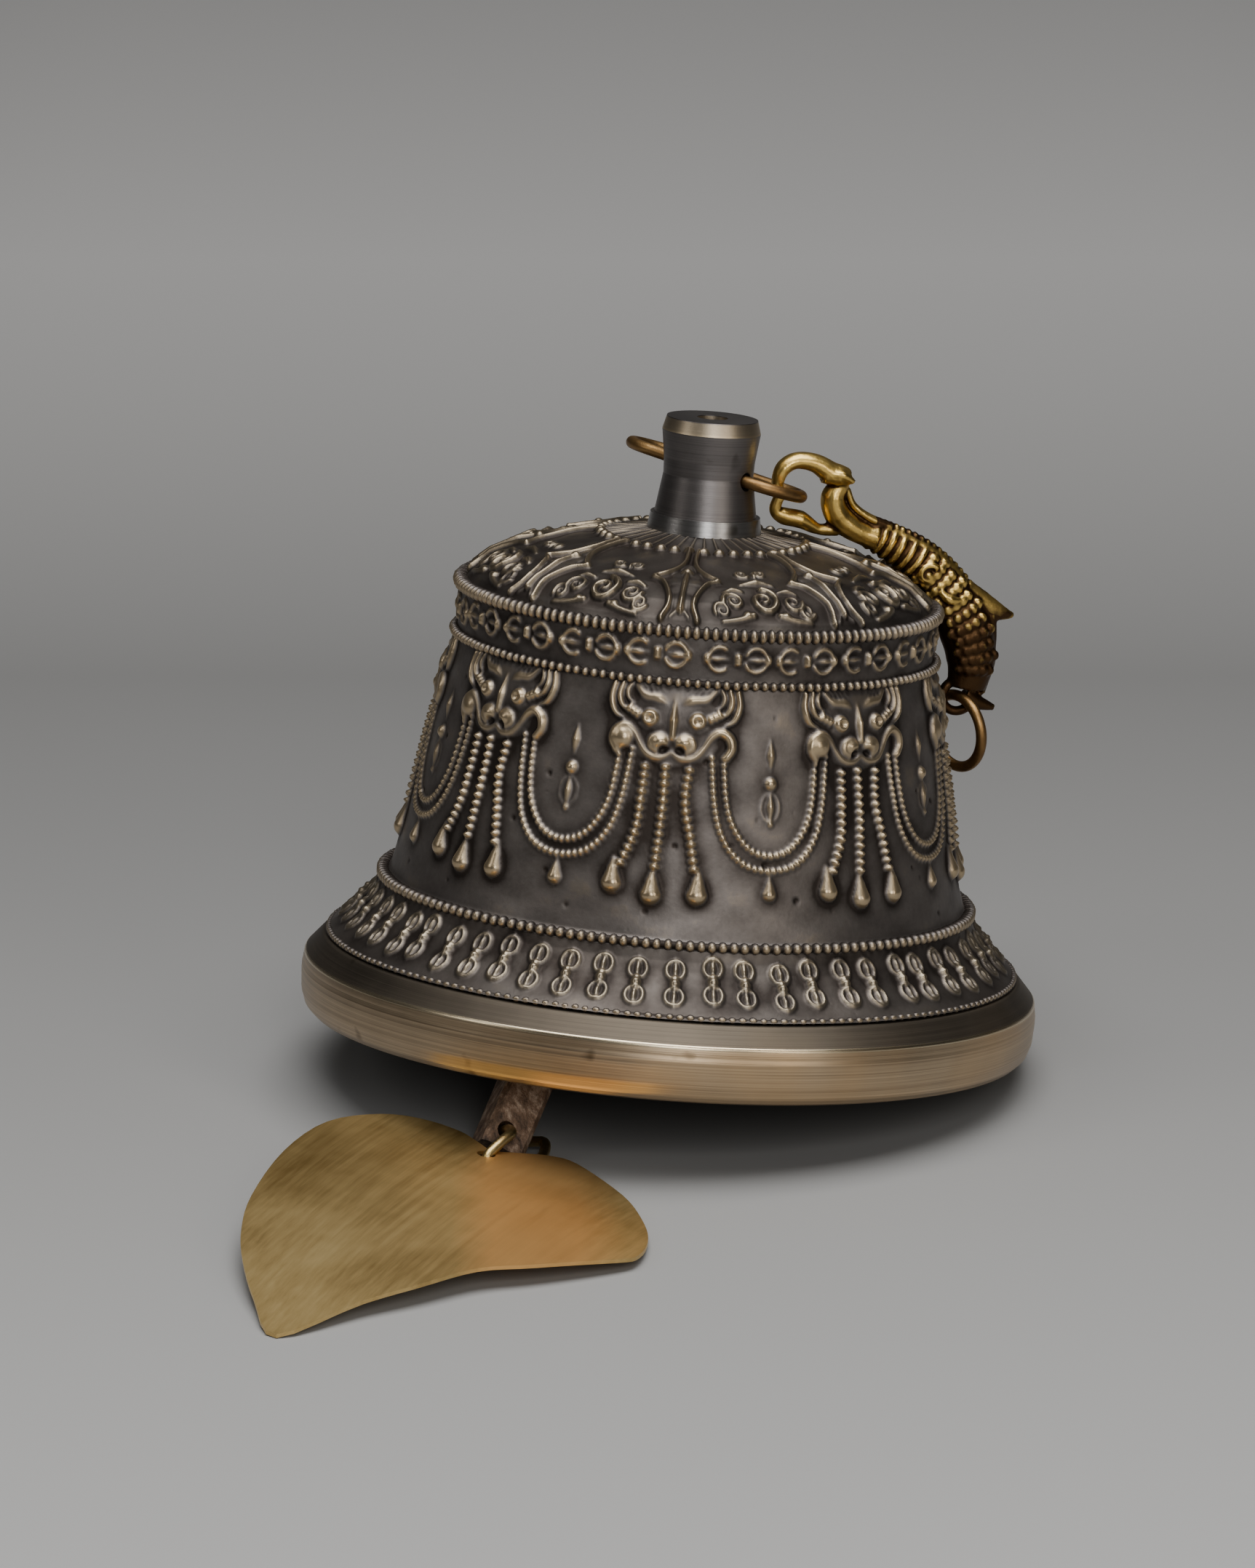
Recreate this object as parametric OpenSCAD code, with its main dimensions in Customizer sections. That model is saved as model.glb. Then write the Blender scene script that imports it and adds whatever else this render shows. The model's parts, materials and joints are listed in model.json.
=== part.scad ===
// Himalayan hanging bell, standing tilted on its rim and resting on its own clapper.
// The bell is modelled upright about its own axis, mouth plane at z = 0, and on_bell() then leans it.
// Frame: floor at z = 0, front is -Y, right is +X, origin under the middle of the whole object.

/* [Bell] */
// Outer diameter of the rim
rim_d = 120; // [119:0.5:121]
// Radius of the lip edge that the bell stands on
lip_r = 57.5; // [57:0.1:57.8]
// Radius of the shoulder, at the top of the straight body
shoulder_r = 38.6; // [38:0.1:39]
// Height of the shoulder above the mouth
shoulder_z = 71; // [70.5:0.1:71.5]
// Height of the crown above the mouth
crown_z = 82.6; // [82.4:0.1:82.8]
// Section radius of the plain cores of the bead rings
bead_core_r = 1.1; // [0.8:0.1:1.3]

/* [Crown fittings] */
// Height of the collar
collar_h = 2.6; // [2.4:0.1:2.8]
// Height of the hub
hub_h = 15.8; // [15:0.1:16.5]
// Radius of the hub at its foot
hub_foot_r = 8.3; // [8:0.1:8.6]
// Radius of the hub at its waist
hub_waist_r = 7.3; // [7.1:0.1:7.6]
// Radius of the blind hole in the top of the hub
top_hole_r = 2.5; // [2.2:0.1:2.8]
// Depth of the blind hole in the top of the hub
top_hole_depth = 4.4; // [3.5:0.1:4.6]
// Radius of the crown stud
stud_r = 3; // [2.8:0.1:3.1]
// Thickness of the flattened eye at the stud's lower end
stud_eye_t = 2.4; // [2:0.1:2.6]

/* [Hanger ring] */
// Wire radius of the hanger ring
hanger_wire_r = 1; // [0.9:0.05:1.1]
// Radius of its rounded ends, to the middle of the wire
hanger_end_r = 6.25; // [6.1:0.05:6.4]
// Length of its straight sides
hanger_side = 19; // [18:0.5:20]

/* [Fish hanger] */
// Thickness of the cast fish
fish_t = 6; // [5:0.5:6.4]
// Thickness of the eye at its tail
tail_eye_t = 2.4; // [2:0.1:2.6]
// Wire radius of the small top ring
top_wire_r = 0.9; // [0.8:0.05:1]
// Radius of the top ring, to the middle of the wire
top_ring_r = 6; // [5.8:0.1:6.1]

/* [Clapper and sail] */
// Side of the square clapper bar
bar_side = 7.5; // [7.2:0.1:7.7]
// Distance from the clapper's pivot to its lower end
bar_length = 87; // [86.5:0.1:87.3]
// Angle between the clapper and the bell's axis
swing = 37.5; // [37.2:0.1:37.8]
// Wire radius of the sail ring
sail_wire_r = 0.85; // [0.8:0.05:0.9]
// Thickness of the sail
sail_t = 0.6; // [0.5:0.05:0.7]
// Length of the sail from tip to notch
sail_length = 80.5; // [80:0.1:81]

/* [Pose] */
// Tilt of the bell's axis from upright
tilt = 7.7; // [7.6:0.1:7.8]
// Direction that the bell leans to, measured from +X towards +Y
lean_azimuth = 56; // [55:1:57]
// Direction that the clapper's lower end points to
swing_azimuth = -120; // [-121:1:-119]

/* [Hidden] */
$fn = 96;

// Middle of the bell's mouth in the frame of the whole object
mouth_x = 2.77;
mouth_y = 34.2;
mouth_z = lip_r * sin(tilt);

rim_r = rim_d / 2;
hole_gap = 0.05;
stud_hole_r = stud_r + hole_gap;

// Heights along the bell's axis
crown_in_z = crown_z - 3.1;
collar_top_z = crown_z + collar_h;
hub_top_z = collar_top_z + hub_h;
cross_hole_z = 92.5;
washer_t = 1.2;
nut_h = 5;
nut_flats = 10;
stud_eye_z = 67;
stud_top_z = 89.5;
stud_eye_r = 4.6;
stud_eye_hole_r = 2.6;
pivot_z = 56;

// The clapper link is a closed wire ring between the stud's eye and the clapper's eye
link_r = (stud_eye_z - pivot_z) / 2;
link_wire_r = 1.2;
link_z = (stud_eye_z + pivot_z) / 2;

// Cross hole of the hub, drilled a little off square; its direction in the bell's own frame
cross_hole_r = 1.5;
cross_azimuth = -33.9;
cross_drop = 8.05;
// How far the hanger ring's back side droops, and how far the ring has slipped to the left
hanger_droop = 10.5;
hanger_slip = -2.3;

// Fish: the point where its loop hangs on the ring, from the middle of the mouth, and its plane
fish_hook = [22.4, 12.25, 95.7];
fish_azimuth = 15;
hook_hole_r = 3.3;
fish_loop_t = 4.4;
tail_eye = [26.3, -36.9];
tail_eye_r = 1.9;
top_ring_azimuth = 130;

// Clapper eyes
top_eye_t = 3.6;
top_eye_r = 4.4;
top_eye_hole_r = 2.2;
low_eye_r = 1.5;
low_eye_z = 3 - bar_length;
low_eye_y = -0.8;
bar_bevel = 0.8;
floor_gap = 0.5;
bend_swell = 1.06;

// Sail: its hole from the middle of the mouth, its heading and the arch of its surface
sail_hole = [-28.5, -57];
sail_hole_r = 1.5;
sail_hole_from_tip = 78;
sail_heading = 66.8;
arch_middle = [-28.7, -107.7, 3.65];
arch_azimuth = 35;
arch_r = 213.6;
arch_slope = atan(0.08);

// Places a child on the leaning bell; the child is drawn upright, with the mouth plane at z = 0
module on_bell() {
    translate([mouth_x, mouth_y, mouth_z])
        rotate([0, 0, lean_azimuth]) rotate([0, tilt, 0]) rotate([0, 0, -lean_azimuth])
            children();
}

// Places a child in the clapper's frame: pivot at the origin, bar along -Z, its faces along X and Y
module on_clapper() {
    on_bell() translate([0, 0, pivot_z])
        rotate([0, 0, swing_azimuth]) rotate([0, -swing, 0]) rotate([0, 0, 45])
            children();
}

// Round bar from point a to point b
module rod(a, b, r) {
    d = b - a;
    translate(a) rotate([0, acos(d.z / norm(d)), atan2(d.y, d.x)]) cylinder(h = norm(d), r = r);
}

// Closed wire bent through a list of points
module bent_wire(points, r) {
    for (i = [0 : len(points) - 1]) {
        rod(points[i], points[(i + 1) % len(points)], r);
        // The bend swells a little, as bent wire does
        translate(points[i]) sphere(r = bend_swell * r);
    }
}

// Round wire ring lying in the XY plane
module wire_ring(ring_r, wire_r) {
    rotate_extrude() translate([ring_r, 0]) circle(r = wire_r, $fn = 48);
}

// Points of a closed smooth curve through the given points, n steps between each pair
function smooth(p, n) = [
    for (i = [0 : len(p) - 1], k = [0 : n - 1])
        let (t = k / n, a = p[(i + len(p) - 1) % len(p)], b = p[i],
             c = p[(i + 1) % len(p)], d = p[(i + 2) % len(p)])
            b + 0.5 * t * (c - a + t * (2 * a - 5 * b + 4 * c - d + t * (3 * (b - c) + d - a)))
];

// Outer side of the bell from the crown down to the lip, as [radius, height]
waist = [48.2, 22.4];
flare_foot = [56.5, 13];
flare_steps = 6;
function flare() = [
    for (i = [0 : flare_steps])
        let (f = i / flare_steps)
            [waist.x + (flare_foot.x - waist.x) * pow(f, 1.5), waist.y + (flare_foot.y - waist.y) * f]
];
function outer_side() = concat(
    [[stud_hole_r, crown_z], [9.3, crown_z], [20, 80.6], [30, 78], [34, 76], [37, 73.5],
     [shoulder_r, shoulder_z], [shoulder_r, 64.5], [39.2, 61], [42, 47], [45, 31.7], [46, 27], [46.8, 24]],
    flare(),
    [[59.6, 9.4], [rim_r, 6], [59.8, 3], [59.2, 1.2], [58.2, 0.2], [lip_r, 0]]
);
// Inner side from the lip up to the crown
function inner_side() = [
    [54.3, 0], [54.6, 3], [53.2, 9.4], [50.4, 13.5], [45.6, 22], [43.6, 27], [42, 32], [39.2, 47],
    [36.3, 62], [35.4, 70], [33, 74], [28, 76.4], [18, 78.6], [9, crown_in_z], [stud_hole_r, crown_in_z]
];
// Bead rings as [radius, height]: lower, waist, body top, shoulder
bead_rings = [[56.1, 13], [48.4, 23.3], [39.4, 63.8], [38.8, 71.8]];

module bell_shell() {
    color("darkgoldenrod") on_bell() {
        rotate_extrude() polygon(concat(outer_side(), inner_side()));
        for (b = bead_rings)
            translate([0, 0, b.y]) wire_ring(b.x, bead_core_r);
    }
}

module hub_collar() {
    color("goldenrod") on_bell() difference() {
        translate([0, 0, crown_z]) cylinder(h = collar_h, r1 = 9.3, r2 = 8.9);
        translate([0, 0, crown_z - 1]) cylinder(h = collar_h + 2, r = stud_hole_r);
    }
}

// Direction of the cross hole in the bell's own frame
module along_cross_hole() {
    translate([0, 0, cross_hole_z]) rotate([0, 0, cross_azimuth]) rotate([0, cross_drop, 0])
        children();
}

module hub() {
    color("dimgray") on_bell() difference() {
        translate([0, 0, collar_top_z]) rotate_extrude() polygon([
            [0, 0], [hub_foot_r, 0], [hub_waist_r, 6.5], [7.4, 9], [8, 13.6], [7.4, hub_h], [0, hub_h]
        ]);
        translate([0, 0, hub_top_z - top_hole_depth]) cylinder(h = top_hole_depth + 1, r = top_hole_r);
        translate([0, 0, collar_top_z - 1]) cylinder(h = stud_top_z - collar_top_z + 1.1, r = stud_hole_r);
        along_cross_hole() rotate([0, 90, 0]) cylinder(h = 30, r = cross_hole_r, center = true);
    }
}

module crown_stud() {
    eye_top_z = stud_eye_z + 2.5;
    color("gray") on_bell() difference() {
        union() {
            translate([0, 0, eye_top_z]) cylinder(h = stud_top_z - eye_top_z, r = stud_r);
            rotate([0, 0, swing_azimuth + 90]) translate([0, 0, stud_eye_z]) {
                rotate([0, 90, 0]) cylinder(h = stud_eye_t, r = stud_eye_r, center = true);
                translate([-stud_eye_t / 2, -2.6, 0]) cube([stud_eye_t, 5.2, 6]);
            }
        }
        rotate([0, 0, swing_azimuth + 90]) translate([0, 0, stud_eye_z]) rotate([0, 90, 0])
            cylinder(h = 10, r = stud_eye_hole_r, center = true);
    }
}

module crown_washer() {
    color("silver") on_bell() translate([0, 0, crown_in_z - washer_t]) difference() {
        cylinder(h = washer_t, r = 7.5);
        translate([0, 0, -1]) cylinder(h = washer_t + 2, r = stud_hole_r);
    }
}

module crown_nut() {
    color("gray") on_bell() translate([0, 0, crown_in_z - washer_t - nut_h]) difference() {
        cylinder(h = nut_h, d = nut_flats / cos(30), $fn = 6);
        translate([0, 0, -1]) cylinder(h = nut_h + 2, r = stud_hole_r);
    }
}

module clapper_link() {
    color("gray") on_bell() translate([0, 0, link_z]) rotate([0, 0, swing_azimuth + 90])
        rotate([90, 0, 0]) wire_ring(link_r, link_wire_r);
}

// Square bar section with bevelled corners
module bar_section() {
    h = bar_side / 2;
    b = h - bar_bevel;
    polygon([[h, b], [b, h], [-b, h], [-h, b], [-h, -b], [-b, -h], [b, -h], [h, -b]]);
}

module clapper() {
    neck_z = 8.5;
    color("saddlebrown") difference() {
        on_clapper() union() {
            translate([0, 0, -bar_length]) linear_extrude(bar_length - neck_z) bar_section();
            rotate([0, 0, 45]) {
                rotate([0, 90, 0]) cylinder(h = top_eye_t, r = top_eye_r, center = true);
                translate([-top_eye_t / 2, -3.2, -neck_z - 1]) cube([top_eye_t, 6.4, neck_z - 1.5]);
            }
        }
        on_clapper() rotate([0, 0, 45]) rotate([0, 90, 0])
            cylinder(h = 12, r = top_eye_hole_r, center = true);
        on_clapper() translate([0, low_eye_y, low_eye_z]) rotate([0, 90, 0])
            cylinder(h = 20, r = low_eye_r, center = true);
        // The end is ground off flat where it meets the floor
        translate([mouth_x - 60, mouth_y - 80, floor_gap - 20]) cube([60, 60, 20]);
    }
}

// Route of the sail ring's wire in the clapper's frame, chosen by hand: through the clapper's lower eye,
// forward and down through the sail's hole, under the sail and back round the right side of the bar
sail_ring_route = [
    [-5.1, low_eye_y, low_eye_z], [5.1, low_eye_y, low_eye_z], [10, -4.5, -90], [7.3, -1.8, -93.8],
    [6.2, 4.8, -88.9], [3.6, 7, -84.3], [-5.1, 6.4, -79]
];

module sail_ring() {
    color("gold") on_clapper() bent_wire(sail_ring_route, sail_wire_r, $fn = 32);
}

// Sail outline from the tip, x to the right of its axis and y along it
sail_outline = [
    [0, 0], [-8.3, 9.6], [-15.6, 21], [-20, 30], [-23.5, 41], [-26.3, 59], [-25.8, 74], [-20.7, 83],
    [-14.9, 86], [-8, 85.4], [-3.2, 82.4], [0, sail_length], [3.5, 83.2], [7.4, 86.6], [12, 86.7],
    [23.4, 78], [30.5, 69], [35.3, 60.4], [37.4, 52], [35.6, 47.3], [26.5, 37.3], [19.5, 31.2],
    [14, 21.9], [8.3, 13.5]
];

// Thin arched plate: a slice of a wide tube, lying along arch_azimuth + 90 and rising to the back
module arched_sheet() {
    translate(arch_middle) rotate([0, 0, arch_azimuth]) rotate([arch_slope, 0, 0])
        translate([0, 0, -arch_r]) rotate([90, 0, 0]) difference() {
            cylinder(h = 240, r = arch_r + sail_t / 2, center = true);
            cylinder(h = 250, r = arch_r - sail_t / 2, center = true);
        }
}

module sail() {
    color("olive") translate([mouth_x, mouth_y, 0]) intersection() {
        arched_sheet();
        translate([sail_hole.x, sail_hole.y, -2]) linear_extrude(20) difference() {
            rotate([0, 0, sail_heading - 90]) translate([0, -sail_hole_from_tip])
                polygon(smooth(sail_outline, 4));
            circle(r = sail_hole_r);
        }
    }
}

// Oval ring: two straight sides and two rounded ends, in the XY plane, front side on the X axis
module oval_ring() {
    half = hanger_side / 2;
    for (s = [-1, 1]) {
        translate([s * half, hanger_end_r, 0]) rotate([0, 0, -90 * s]) rotate_extrude(angle = 180)
            translate([hanger_end_r, 0]) circle(r = hanger_wire_r, $fn = 48);
        translate([0, hanger_end_r * (1 + s), 0]) rotate([0, 90, 0])
            cylinder(h = hanger_side, r = hanger_wire_r, center = true);
    }
}

module hanger_ring() {
    color("peru") on_bell() along_cross_hole() rotate([-hanger_droop, 0, 0])
        translate([hanger_slip, 0, 0]) oval_ring();
}

// Fish outline from the hook point, x to the right in its plane and y up
fish_outline = [
    [-4.6, 2.7], [-3.1, 4.4], [-0.3, 5.3], [2.8, 4.2], [7, 2.2], [7.4, -1], [8.4, -4.4], [12.8, -6.5],
    [20.3, -9.8], [25.1, -14.1], [28.7, -18.2], [31.5, -22], [35.9, -23.7], [32.8, -26.4],
    [32.8, -34.3], [30.5, -36.1], [31.5, -39.5], [26.3, -40.2], [23.6, -38], [23.9, -25.7],
    [23.4, -21.2], [21, -17.4], [17.2, -14.4], [10.9, -9.7], [6, -8.2], [0, -7.4],
    [-3.6, -5.8], [-4.9, -2.2]
];

// Stands a child on the fish's plane, with its outline upright
module on_fish() {
    translate([mouth_x, mouth_y, 0] + fish_hook) rotate([0, 0, fish_azimuth]) rotate([90, 0, 0])
        children();
}

// Part of the fish's outline inside a rectangle, as a slab of thickness t about the fish's plane
module fish_slab(t, corner, size) {
    translate([0, 0, -t / 2]) linear_extrude(t) intersection() {
        polygon(fish_outline);
        translate(corner) square(size);
    }
}

module fish_hanger() {
    color("gold") on_fish() difference() {
        union() {
            fish_slab(fish_loop_t, [-10, -12], [14.5, 22]);
            fish_slab(fish_t, [4, -33], [40, 40]);
            fish_slab(tail_eye_t, [15, -45], [30, 12.5]);
        }
        cylinder(h = 20, r = hook_hole_r, center = true);
        translate(tail_eye) cylinder(h = 20, r = tail_eye_r, center = true);
    }
}

module top_ring() {
    color("sienna") on_fish() translate([tail_eye.x, tail_eye.y - top_ring_r, 0])
        rotate([0, top_ring_azimuth - fish_azimuth, 0]) wire_ring(top_ring_r, top_wire_r);
}

bell_shell();
hub_collar();
hub();
crown_stud();
crown_washer();
crown_nut();
clapper_link();
clapper();
sail_ring();
sail();
hanger_ring();
fish_hanger();
top_ring();
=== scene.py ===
"""Himalayan hanging bell: looks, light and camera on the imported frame.

Lengths are in mm until MM is applied. Places on the bell are in its own frame: the origin is the middle of
its mouth and Z runs up through the crown. Angles round it run from +X towards +Y.
"""
import json
import math

import bmesh
import bpy
import numpy as np
from mathutils import Matrix, Vector


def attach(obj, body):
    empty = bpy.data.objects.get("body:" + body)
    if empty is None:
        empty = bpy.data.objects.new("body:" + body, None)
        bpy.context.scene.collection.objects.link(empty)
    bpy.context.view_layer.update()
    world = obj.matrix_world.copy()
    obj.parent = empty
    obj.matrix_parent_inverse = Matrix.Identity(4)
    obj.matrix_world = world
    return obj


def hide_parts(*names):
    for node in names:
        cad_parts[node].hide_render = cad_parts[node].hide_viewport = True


MM = 0.001
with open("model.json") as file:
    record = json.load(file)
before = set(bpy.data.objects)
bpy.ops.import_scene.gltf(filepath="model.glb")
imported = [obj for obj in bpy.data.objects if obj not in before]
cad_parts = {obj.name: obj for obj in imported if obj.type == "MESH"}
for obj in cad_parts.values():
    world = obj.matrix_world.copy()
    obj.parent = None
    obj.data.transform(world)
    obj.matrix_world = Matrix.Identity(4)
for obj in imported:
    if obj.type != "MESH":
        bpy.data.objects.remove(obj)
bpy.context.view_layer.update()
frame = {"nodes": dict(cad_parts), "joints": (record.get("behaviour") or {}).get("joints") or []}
JOINTS = {j["name"]: j for j in frame["joints"]}
rng = np.random.default_rng(7)

# ---------------------------------------------------------------- the bell's own frame
# Height of the clapper link's middle over the mouth
LINK_HEIGHT = 61.5
AXIS = Vector(JOINTS["link_twist"]["axis"])
MOUTH = Vector(JOINTS["link_twist"]["pos_m"]) / MM - AXIS * LINK_HEIGHT
LEAN = math.atan2(AXIS.y, AXIS.x)
TILT = math.acos(AXIS.z)
BELL = (Matrix.Translation(MOUTH) @ Matrix.Rotation(LEAN, 4, "Z") @ Matrix.Rotation(TILT, 4, "Y")
        @ Matrix.Rotation(-LEAN, 4, "Z"))

# Outer side of the bell as [radius, height], from the collar to the lip
CROWN = [(9.2, 82.6), (20, 80.6), (30, 78), (34, 76), (37, 73.5), (38.6, 71)]
BODY = [(38.6, 71), (38.6, 64.5), (39.2, 61), (42, 47), (45, 31.7), (46, 27), (46.8, 24), (48.2, 22.4)]
FLARE = [(48.2 + 8.3 * f ** 1.5, 22.4 - 9.4 * f) for f in np.linspace(0, 1, 7)]
SLOPE = [(55.9, 12.7), (56.9, 12.45), (59.45, 9.5)]
BRIGHT_EDGE = [(59.45, 9.5), (59.62, 9.34), (59.72, 9.1), (59.74, 8.9)]
RIM = [(59.74, 8.9), (59.9, 7.6), (59.86, 7.45), (59.98, 7.3), (60, 6), (59.8, 3), (59.2, 1.2), (58.2, 0.2),
       (57.5, 0)]
# Inner side from the lip up to the stud's hole
INSIDE = [(57.5, 0), (54.3, 0), (54.6, 3), (53.2, 9.4), (50.4, 13.5), (45.6, 22), (43.6, 27), (42, 32),
          (39.2, 47), (36.3, 62), (35.4, 70), (33, 74), (28, 76.4), (18, 78.6), (9, 79.5), (3.05, 79.5)]

# How many motifs each band has all round, and the angle of the first one
BLADES, FIRST_BLADE = 8, math.radians(-95.5)
MASKS, FIRST_MASK = 8, math.radians(-94)
LYING_VAJRAS, FIRST_VAJRA = 20, math.radians(-99)
STANDING_VAJRAS = 56
CROWN_STEMS = 44
CAST_PITS = 130
# Height of the lying vajras, and distance from the waist down the flare to the middle of the standing ones
VAJRA_HEIGHT = 67.7
FLARE_MIDDLE = 5.9
MASK_EYE_HEIGHT = 57.6

# Unevenness of the casting: number of waves round the bell and along its side
CAST_WAVES = ((5, 3), (11, 5), (23, 9))
# Wear is 0 in a hollow and 1 where rubbed bright: on the flat wall, and its gains by edge and by height
FLAT_WEAR = 0.26
EDGE_WEAR = 1.15
HEIGHT_WEAR = 0.32
# Cells of the relief's grid over which an edge is found
EDGE_REACH = 6

# Heights between which the painted highlight on the hub's bevel lies, a thin bright line and a pale brass
# band
HUB_HIGHLIGHT_BEVEL = (98.8, 100.9)
# Direction of the sail's length in the XY plane, and where its painted warm reflection starts to be measured,
# in metres
SAIL_HEADING = math.radians(66.8)
WARM_REFLECTION_FROM_X = -0.062


# ---------------------------------------------------------------- mesh helpers
def add_mesh(name, points, faces, body, material, place=BELL, wear=None, replaces=()):
    """A smooth mesh piece from points in mm, put in place and riding on a body."""
    place = np.array(place)
    points = np.asarray(points, float) @ place[:3, :3].T + place[:3, 3]
    mesh = bpy.data.meshes.new(name)
    mesh.from_pydata((points * MM).tolist(), [], np.asarray(faces).tolist())
    mesh.validate()
    mesh.polygons.foreach_set("use_smooth", np.full(len(mesh.polygons), True))
    if wear is not None:
        layer = mesh.attributes.new("wear", "FLOAT", "POINT")
        layer.data.foreach_set("value", np.asarray(wear, np.float32).ravel())
    mesh.update()
    piece = bpy.data.objects.new(name, mesh)
    bpy.context.scene.collection.objects.link(piece)
    piece.data.materials.append(material)
    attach(piece, body)
    if replaces:
        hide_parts(*replaces)


def grid_faces(rows, cols):
    """Quads of a grid of rows x cols points, closed round its columns."""
    r, c = np.meshgrid(np.arange(rows - 1), np.arange(cols), indexing="ij")
    n = (c + 1) % cols
    return np.stack([r * cols + c, (r + 1) * cols + c, (r + 1) * cols + n, r * cols + n], -1).reshape(-1, 4)


def resample(profile, step):
    """Points every step mm along a polyline, with their distance from its start."""
    profile = np.array(profile, float)
    s = np.concatenate([[0], np.cumsum(np.linalg.norm(np.diff(profile, axis=0), axis=1))])
    t = np.linspace(0, s[-1], max(2, int(s[-1] / step) + 1))
    return np.stack([np.interp(t, s, profile[:, k]) for k in range(2)], -1), t


def lathe(name, profile, material, step, around=360, wear=0.3):
    """Surface of revolution about the bell's axis, with a ring of points every step mm."""
    line, _ = resample(profile, step)
    a = np.linspace(0, 2 * np.pi, around, endpoint=False)
    r, z = line[:, :1], line[:, 1:]
    pts = np.stack([r * np.cos(a), r * np.sin(a), z + 0 * a], -1).reshape(-1, 3)
    add_mesh(name, pts, grid_faces(len(line), around), "bell", material, wear=np.full(len(pts), wear))


def curve(points, steps=5):
    """Smooth open curve through the given points, with steps points to each stretch."""
    p = np.array(points, float)
    p = np.vstack([2 * p[0] - p[1], p, 2 * p[-1] - p[-2]])
    out = []
    for i in range(1, len(p) - 2):
        a, b, c, d = p[i - 1:i + 3]
        for t in np.arange(steps) / steps:
            bend = 2 * a - 5 * b + 4 * c - d + t * (3 * (b - c) + d - a)
            out.append(b + 0.5 * t * (c - a + t * bend))
    out.append(p[-2])
    return np.array(out)


def blur(h, cells):
    """Average of a relief over some cells each way, taken twice; it is closed round its columns."""
    for axis in (0, 1):
        for _ in range(2):
            pad = [(cells, cells), (0, 0)] if axis == 0 else [(0, 0), (cells, cells)]
            q = np.pad(h, pad, mode="edge" if axis == 0 else "wrap").cumsum(axis=axis)
            lead = np.take(q, range(2 * cells, q.shape[axis]), axis=axis)
            lag = np.take(q, range(0, q.shape[axis] - 2 * cells), axis=axis)
            h = (lead - lag) / (2 * cells)
    return h


# ---------------------------------------------------------------- relief drawn on a surface
class Patch:
    """A window of a relief with its own mm coordinates, where the highest thing drawn is kept."""

    def __init__(self, x, y):
        self.x, self.y = np.broadcast_arrays(x, y)
        self.h = np.zeros(self.x.shape)

    def stroke(self, points, radius, rise=0.9):
        """Round bead along a polyline; radius is one value or one for each point."""
        p = np.array(points, float)
        r = np.interp(np.linspace(0, 1, len(p)), np.linspace(0, 1, np.size(radius)), np.atleast_1d(radius))
        for a, b, ra, rb in zip(p[:-1], p[1:], r[:-1], r[1:]):
            d = b - a
            t = np.clip(((self.x - a[0]) * d[0] + (self.y - a[1]) * d[1]) / max(d @ d, 1e-9), 0, 1)
            rt = ra + (rb - ra) * t
            q = ((self.x - a[0] - t * d[0]) ** 2 + (self.y - a[1] - t * d[1]) ** 2) / rt ** 2
            self.h = np.maximum(self.h, rise * rt * np.sqrt(np.clip(1 - q, 0, 1)))

    def dome(self, at, rx, ry, height, turn=0.0):
        """Half an ellipsoid."""
        c, s = math.cos(turn), math.sin(turn)
        x, y = self.x - at[0], self.y - at[1]
        q = ((x * c + y * s) / rx) ** 2 + ((y * c - x * s) / ry) ** 2
        self.h = np.maximum(self.h, height * np.sqrt(np.clip(1 - q, 0, 1)))

    def pit(self, at, r, depth):
        """Round hollow."""
        q = ((self.x - at[0]) ** 2 + (self.y - at[1]) ** 2) / r ** 2
        self.h = self.h - depth * np.clip(1 - q, 0, 1)

    def beads(self, points, pitch, across, along, height):
        """A string of beads along a curve; across and along are half their sizes."""
        p = np.array(points, float)
        s = np.concatenate([[0], np.cumsum(np.linalg.norm(np.diff(p, axis=0), axis=1))])
        for t in np.arange(pitch / 2, s[-1], pitch):
            at = [np.interp(t, s, p[:, k]) for k in range(2)]
            to = [np.interp(min(t + 0.1, s[-1]), s, p[:, k]) for k in range(2)]
            self.dome(at, along, across, height, math.atan2(to[1] - at[1], to[0] - at[0]))


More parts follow.
